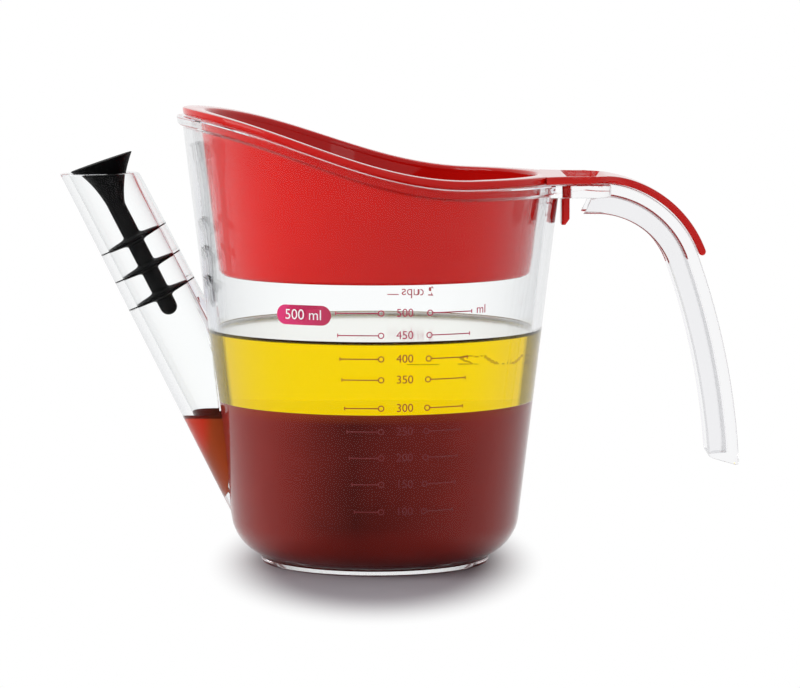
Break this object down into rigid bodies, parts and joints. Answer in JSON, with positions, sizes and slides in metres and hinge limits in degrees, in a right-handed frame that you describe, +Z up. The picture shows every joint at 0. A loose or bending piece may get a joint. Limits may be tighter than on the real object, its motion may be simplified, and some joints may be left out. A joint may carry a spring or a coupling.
{
  "type": "gravy fat separator",
  "caption": "Clear gravy jug with a low-set pouring spout, a lift-out strainer with a thumb rest over the handle, and a soft finned stopper in the spout.",
  "frame": {"origin": "on the cup's axis, at the level of the foot ring's resting face", "axes": "+Z up along the cup's axis, +X towards the handle, the spout leans out towards -X"},
  "size_m": [0.2099, 0.1184, 0.1409],
  "materials": {
    "clear_plastic": "clear, polished moulding",
    "red_plastic": "glossy, through-coloured moulding",
    "black_silicone": "matt, soft"
  },
  "bodies": {
    "jug": {"jug_body": "clear_plastic", "pour_spout": "clear_plastic", "handle": "clear_plastic"},
    "strainer": {"strainer_basket": "red_plastic", "strainer_plate": "red_plastic", "splash_rim": "red_plastic", "thumb_rest": "red_plastic", "latch_tab": "red_plastic"},
    "stopper": {"spout_stopper": "black_silicone"}
  },
  "joints": [
    {"name": "strainer_lift", "type": "slide", "parent": "jug", "child": "strainer", "axis": [0, 0, 1], "range_m": [0, 0.06]},
    {"name": "stopper_pull", "type": "slide", "parent": "jug", "child": "stopper", "axis": [-0.454, 0, 0.891], "range_m": [0, 0.055]}
  ]
}
